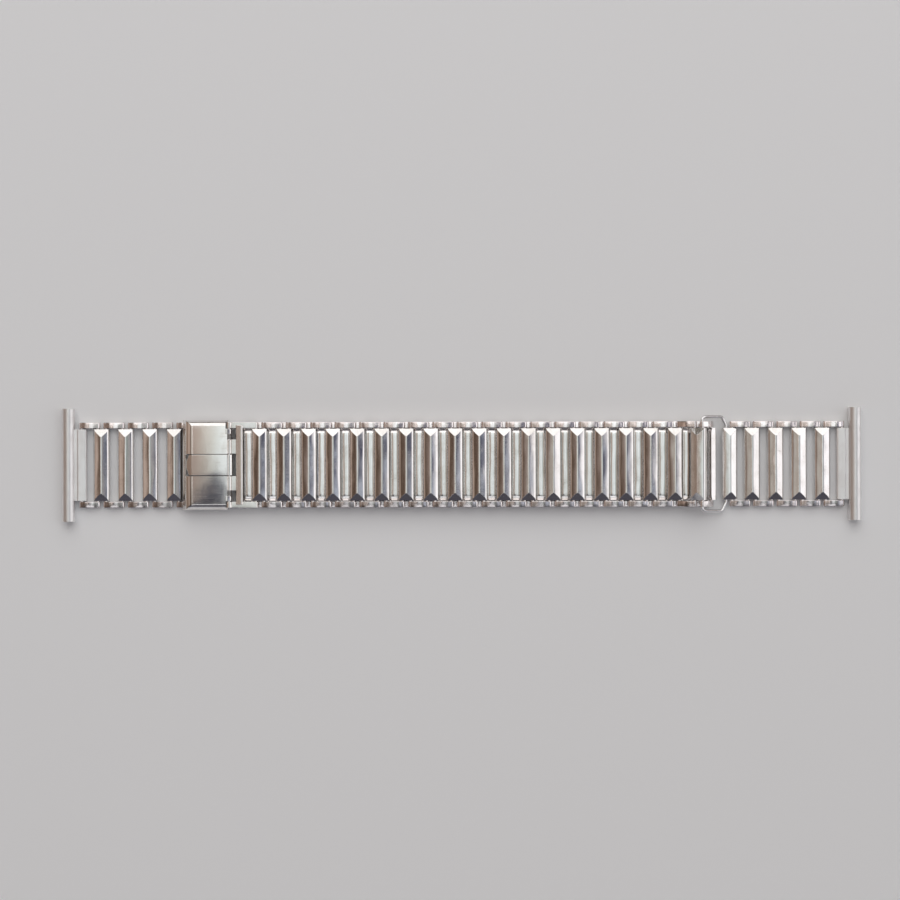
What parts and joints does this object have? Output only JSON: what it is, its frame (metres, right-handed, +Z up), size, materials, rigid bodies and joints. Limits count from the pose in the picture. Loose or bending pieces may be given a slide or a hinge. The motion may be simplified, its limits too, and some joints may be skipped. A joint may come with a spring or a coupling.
{
  "type": "watch bracelet",
  "caption": "Steel ladder watch bracelet with roof-shaped hollow bars on oval loops, a fold-over hooked clasp and a sliding wire ring that sets its length.",
  "frame": {"origin": "middle of the bracelet's box on the surface it lies on", "axes": "+X along the strap from the clasp side to the ring side, +Y across it, +Z up out of the faceted side"},
  "size_m": [0.1272, 0.018, 0.0046],
  "materials": {
    "bar_steel": "polished",
    "wire_steel": "polished",
    "clasp_steel": "polished",
    "satin_steel": "satin"
  },
  "bodies": {
    "clasp_base": {"clasp_base": "clasp_steel", "hinge_wire": "wire_steel", "tail_bar": "bar_steel", "tail_loop": "wire_steel"},
    "clasp_lid": {"clasp_lid": "clasp_steel"},
    "tongue": {"tongue": "clasp_steel"},
    "link_00": {"end_link": "clasp_steel", "inner_link_00": "bar_steel"},
    "link_01": {"double_link_01": "bar_steel"},
    "link_02": {"double_link_02": "bar_steel"},
    "link_03": {"double_link_03": "bar_steel"},
    "link_04": {"double_link_04": "bar_steel"},
    "link_05": {"double_link_05": "bar_steel"},
    "link_06": {"double_link_06": "bar_steel"},
    "link_07": {"double_link_07": "bar_steel"},
    "link_08": {"double_link_08": "bar_steel"},
    "link_09": {"double_link_09": "bar_steel"},
    "link_10": {"double_link_10": "bar_steel"},
    "link_11": {"double_link_11": "bar_steel"},
    "link_12": {"double_link_12": "bar_steel"},
    "link_13": {"double_link_13": "bar_steel"},
    "link_14": {"double_link_14": "bar_steel"},
    "link_15": {"double_link_15": "bar_steel"},
    "link_16": {"double_link_16": "bar_steel"},
    "link_17": {"double_link_17": "bar_steel"},
    "link_18": {"double_link_18": "bar_steel"},
    "fold": {"raised_bar": "bar_steel", "turn_loops": "wire_steel", "turn_bar": "bar_steel"},
    "ring": {"wire_ring": "wire_steel"},
    "right_bar_1": {"right_bar_1": "bar_steel"},
    "right_loop_1": {"right_loop_1": "wire_steel"},
    "right_bar_2": {"right_bar_2": "bar_steel"},
    "right_loop_2": {"right_loop_2": "wire_steel"},
    "right_bar_3": {"right_bar_3": "bar_steel"},
    "right_loop_3": {"right_loop_3": "wire_steel"},
    "right_bar_4": {"right_bar_4": "bar_steel"},
    "right_loop_4": {"right_loop_4": "wire_steel"},
    "right_bar_5": {"right_bar_5": "bar_steel"},
    "right_loop_5": {"right_loop_5": "wire_steel"},
    "right_end_tube": {"right_end_tube": "satin_steel"},
    "left_loop_5": {"left_loop_5": "wire_steel"},
    "left_bar_4": {"left_bar_4": "bar_steel"},
    "left_loop_4": {"left_loop_4": "wire_steel"},
    "left_bar_3": {"left_bar_3": "bar_steel"},
    "left_loop_3": {"left_loop_3": "wire_steel"},
    "left_bar_2": {"left_bar_2": "bar_steel"},
    "left_loop_2": {"left_loop_2": "wire_steel"},
    "left_bar_1": {"left_bar_1": "bar_steel"},
    "left_loop_1": {"left_loop_1": "wire_steel"},
    "left_end_tube": {"left_end_tube": "satin_steel"}
  },
  "joints": [
    {"name": "lid_hinge", "type": "hinge", "parent": "clasp_base", "child": "clasp_lid", "pos_m": [-0.03689, 0, 0.0026], "axis": [0, 1, 0], "range_deg": [0, 100]},
    {"name": "tongue_hinge", "type": "hinge", "parent": "clasp_base", "child": "tongue", "pos_m": [-0.03689, 0, 0.0026], "axis": [0, 1, 0], "range_deg": [0, 100]},
    {"name": "link_00_bend", "type": "hinge", "parent": "clasp_base", "child": "link_00", "pos_m": [-0.03689, 0, 0.0026], "axis": [0, 1, 0], "range_deg": [-3, 8]},
    {"name": "link_01_bend", "type": "hinge", "parent": "link_00", "child": "link_01", "pos_m": [-0.03272, 0, 0.00213], "axis": [0, 1, 0], "range_deg": [-3, 8]},
    {"name": "link_02_bend", "type": "hinge", "parent": "link_01", "child": "link_02", "pos_m": [-0.02884, 0, 0.00213], "axis": [0, 1, 0], "range_deg": [-3, 8]},
    {"name": "link_03_bend", "type": "hinge", "parent": "link_02", "child": "link_03", "pos_m": [-0.02496, 0, 0.00213], "axis": [0, 1, 0], "range_deg": [-3, 8]},
    {"name": "link_04_bend", "type": "hinge", "parent": "link_03", "child": "link_04", "pos_m": [-0.02108, 0, 0.00213], "axis": [0, 1, 0], "range_deg": [-3, 8]},
    {"name": "link_05_bend", "type": "hinge", "parent": "link_04", "child": "link_05", "pos_m": [-0.0172, 0, 0.00213], "axis": [0, 1, 0], "range_deg": [-3, 8]},
    {"name": "link_06_bend", "type": "hinge", "parent": "link_05", "child": "link_06", "pos_m": [-0.01332, 0, 0.00213], "axis": [0, 1, 0], "range_deg": [-3, 8]},
    {"name": "link_07_bend", "type": "hinge", "parent": "link_06", "child": "link_07", "pos_m": [-0.00944, 0, 0.00213], "axis": [0, 1, 0], "range_deg": [-3, 8]},
    {"name": "link_08_bend", "type": "hinge", "parent": "link_07", "child": "link_08", "pos_m": [-0.00556, 0, 0.00213], "axis": [0, 1, 0], "range_deg": [-3, 8]},
    {"name": "link_09_bend", "type": "hinge", "parent": "link_08", "child": "link_09", "pos_m": [-0.00168, 0, 0.00213], "axis": [0, 1, 0], "range_deg": [-3, 8]},
    {"name": "link_10_bend", "type": "hinge", "parent": "link_09", "child": "link_10", "pos_m": [0.0022, 0, 0.00213], "axis": [0, 1, 0], "range_deg": [-3, 8]},
    {"name": "link_11_bend", "type": "hinge", "parent": "link_10", "child": "link_11", "pos_m": [0.00608, 0, 0.00213], "axis": [0, 1, 0], "range_deg": [-3, 8]},
    {"name": "link_12_bend", "type": "hinge", "parent": "link_11", "child": "link_12", "pos_m": [0.00996, 0, 0.00213], "axis": [0, 1, 0], "range_deg": [-3, 8]},
    {"name": "link_13_bend", "type": "hinge", "parent": "link_12", "child": "link_13", "pos_m": [0.01384, 0, 0.00213], "axis": [0, 1, 0], "range_deg": [-3, 8]},
    {"name": "link_14_bend", "type": "hinge", "parent": "link_13", "child": "link_14", "pos_m": [0.01772, 0, 0.00213], "axis": [0, 1, 0], "range_deg": [-3, 8]},
    {"name": "link_15_bend", "type": "hinge", "parent": "link_14", "child": "link_15", "pos_m": [0.0216, 0, 0.00213], "axis": [0, 1, 0], "range_deg": [-3, 8]},
    {"name": "link_16_bend", "type": "hinge", "parent": "link_15", "child": "link_16", "pos_m": [0.02548, 0, 0.00213], "axis": [0, 1, 0], "range_deg": [-3, 8]},
    {"name": "link_17_bend", "type": "hinge", "parent": "link_16", "child": "link_17", "pos_m": [0.02936, 0, 0.00213], "axis": [0, 1, 0], "range_deg": [-3, 8]},
    {"name": "link_18_bend", "type": "hinge", "parent": "link_17", "child": "link_18", "pos_m": [0.03324, 0, 0.00213], "axis": [0, 1, 0], "range_deg": [-3, 8]},
    {"name": "fold_bend", "type": "hinge", "parent": "link_18", "child": "fold", "pos_m": [0.03686, 0, 0.00326], "axis": [0, 1, 0], "range_deg": [-1, 8]},
    {"name": "ring_swing", "type": "hinge", "parent": "fold", "child": "ring", "pos_m": [0.0382, 0, 0.00196], "axis": [0, 1, 0], "range_deg": [-20, 35]},
    {"name": "right_bar_1_bend", "type": "hinge", "parent": "ring", "child": "right_bar_1", "pos_m": [0.04213, 0, 0.0007], "axis": [0, 1, 0], "range_deg": [-12, 20]},
    {"name": "right_loop_1_bend", "type": "hinge", "parent": "right_bar_1", "child": "right_loop_1", "pos_m": [0.04307, 0, 0.0007], "axis": [0, 1, 0], "range_deg": [-12, 20]},
    {"name": "right_bar_2_bend", "type": "hinge", "parent": "right_loop_1", "child": "right_bar_2", "pos_m": [0.04563, 0, 0.0007], "axis": [0, 1, 0], "range_deg": [-12, 20]},
    {"name": "right_loop_2_bend", "type": "hinge", "parent": "right_bar_2", "child": "right_loop_2", "pos_m": [0.04681, 0, 0.0007], "axis": [0, 1, 0], "range_deg": [-12, 20]},
    {"name": "right_bar_3_bend", "type": "hinge", "parent": "right_loop_2", "child": "right_bar_3", "pos_m": [0.04937, 0, 0.0007], "axis": [0, 1, 0], "range_deg": [-12, 20]},
    {"name": "right_loop_3_bend", "type": "hinge", "parent": "right_bar_3", "child": "right_loop_3", "pos_m": [0.05055, 0, 0.0007], "axis": [0, 1, 0], "range_deg": [-12, 20]},
    {"name": "right_bar_4_bend", "type": "hinge", "parent": "right_loop_3", "child": "right_bar_4", "pos_m": [0.05311, 0, 0.0007], "axis": [0, 1, 0], "range_deg": [-12, 20]},
    {"name": "right_loop_4_bend", "type": "hinge", "parent": "right_bar_4", "child": "right_loop_4", "pos_m": [0.05429, 0, 0.0007], "axis": [0, 1, 0], "range_deg": [-12, 20]},
    {"name": "right_bar_5_bend", "type": "hinge", "parent": "right_loop_4", "child": "right_bar_5", "pos_m": [0.05685, 0, 0.0007], "axis": [0, 1, 0], "range_deg": [-12, 20]},
    {"name": "right_loop_5_bend", "type": "hinge", "parent": "right_bar_5", "child": "right_loop_5", "pos_m": [0.05803, 0, 0.0007], "axis": [0, 1, 0], "range_deg": [-12, 20]},
    {"name": "right_end_tube_bend", "type": "hinge", "parent": "right_loop_5", "child": "right_end_tube", "pos_m": [0.06059, 0, 0.0007], "axis": [0, 1, 0], "range_deg": [-12, 20]},
    {"name": "left_loop_5_bend", "type": "hinge", "parent": "clasp_base", "child": "left_loop_5", "pos_m": [-0.04251, 0, 0.0007], "axis": [0, -1, 0], "range_deg": [-6, 20]},
    {"name": "left_bar_4_bend", "type": "hinge", "parent": "left_loop_5", "child": "left_bar_4", "pos_m": [-0.04507, 0, 0.0007], "axis": [0, -1, 0], "range_deg": [-12, 20]},
    {"name": "left_loop_4_bend", "type": "hinge", "parent": "left_bar_4", "child": "left_loop_4", "pos_m": [-0.04639, 0, 0.0007], "axis": [0, -1, 0], "range_deg": [-12, 20]},
    {"name": "left_bar_3_bend", "type": "hinge", "parent": "left_loop_4", "child": "left_bar_3", "pos_m": [-0.04895, 0, 0.0007], "axis": [0, -1, 0], "range_deg": [-12, 20]},
    {"name": "left_loop_3_bend", "type": "hinge", "parent": "left_bar_3", "child": "left_loop_3", "pos_m": [-0.05027, 0, 0.0007], "axis": [0, -1, 0], "range_deg": [-12, 20]},
    {"name": "left_bar_2_bend", "type": "hinge", "parent": "left_loop_3", "child": "left_bar_2", "pos_m": [-0.05283, 0, 0.0007], "axis": [0, -1, 0], "range_deg": [-12, 20]},
    {"name": "left_loop_2_bend", "type": "hinge", "parent": "left_bar_2", "child": "left_loop_2", "pos_m": [-0.05415, 0, 0.0007], "axis": [0, -1, 0], "range_deg": [-12, 20]},
    {"name": "left_bar_1_bend", "type": "hinge", "parent": "left_loop_2", "child": "left_bar_1", "pos_m": [-0.05671, 0, 0.0007], "axis": [0, -1, 0], "range_deg": [-12, 20]},
    {"name": "left_loop_1_bend", "type": "hinge", "parent": "left_bar_1", "child": "left_loop_1", "pos_m": [-0.05803, 0, 0.0007], "axis": [0, -1, 0], "range_deg": [-12, 20]},
    {"name": "left_end_tube_bend", "type": "hinge", "parent": "left_loop_1", "child": "left_end_tube", "pos_m": [-0.06059, 0, 0.0007], "axis": [0, -1, 0], "range_deg": [-12, 20]}
  ]
}
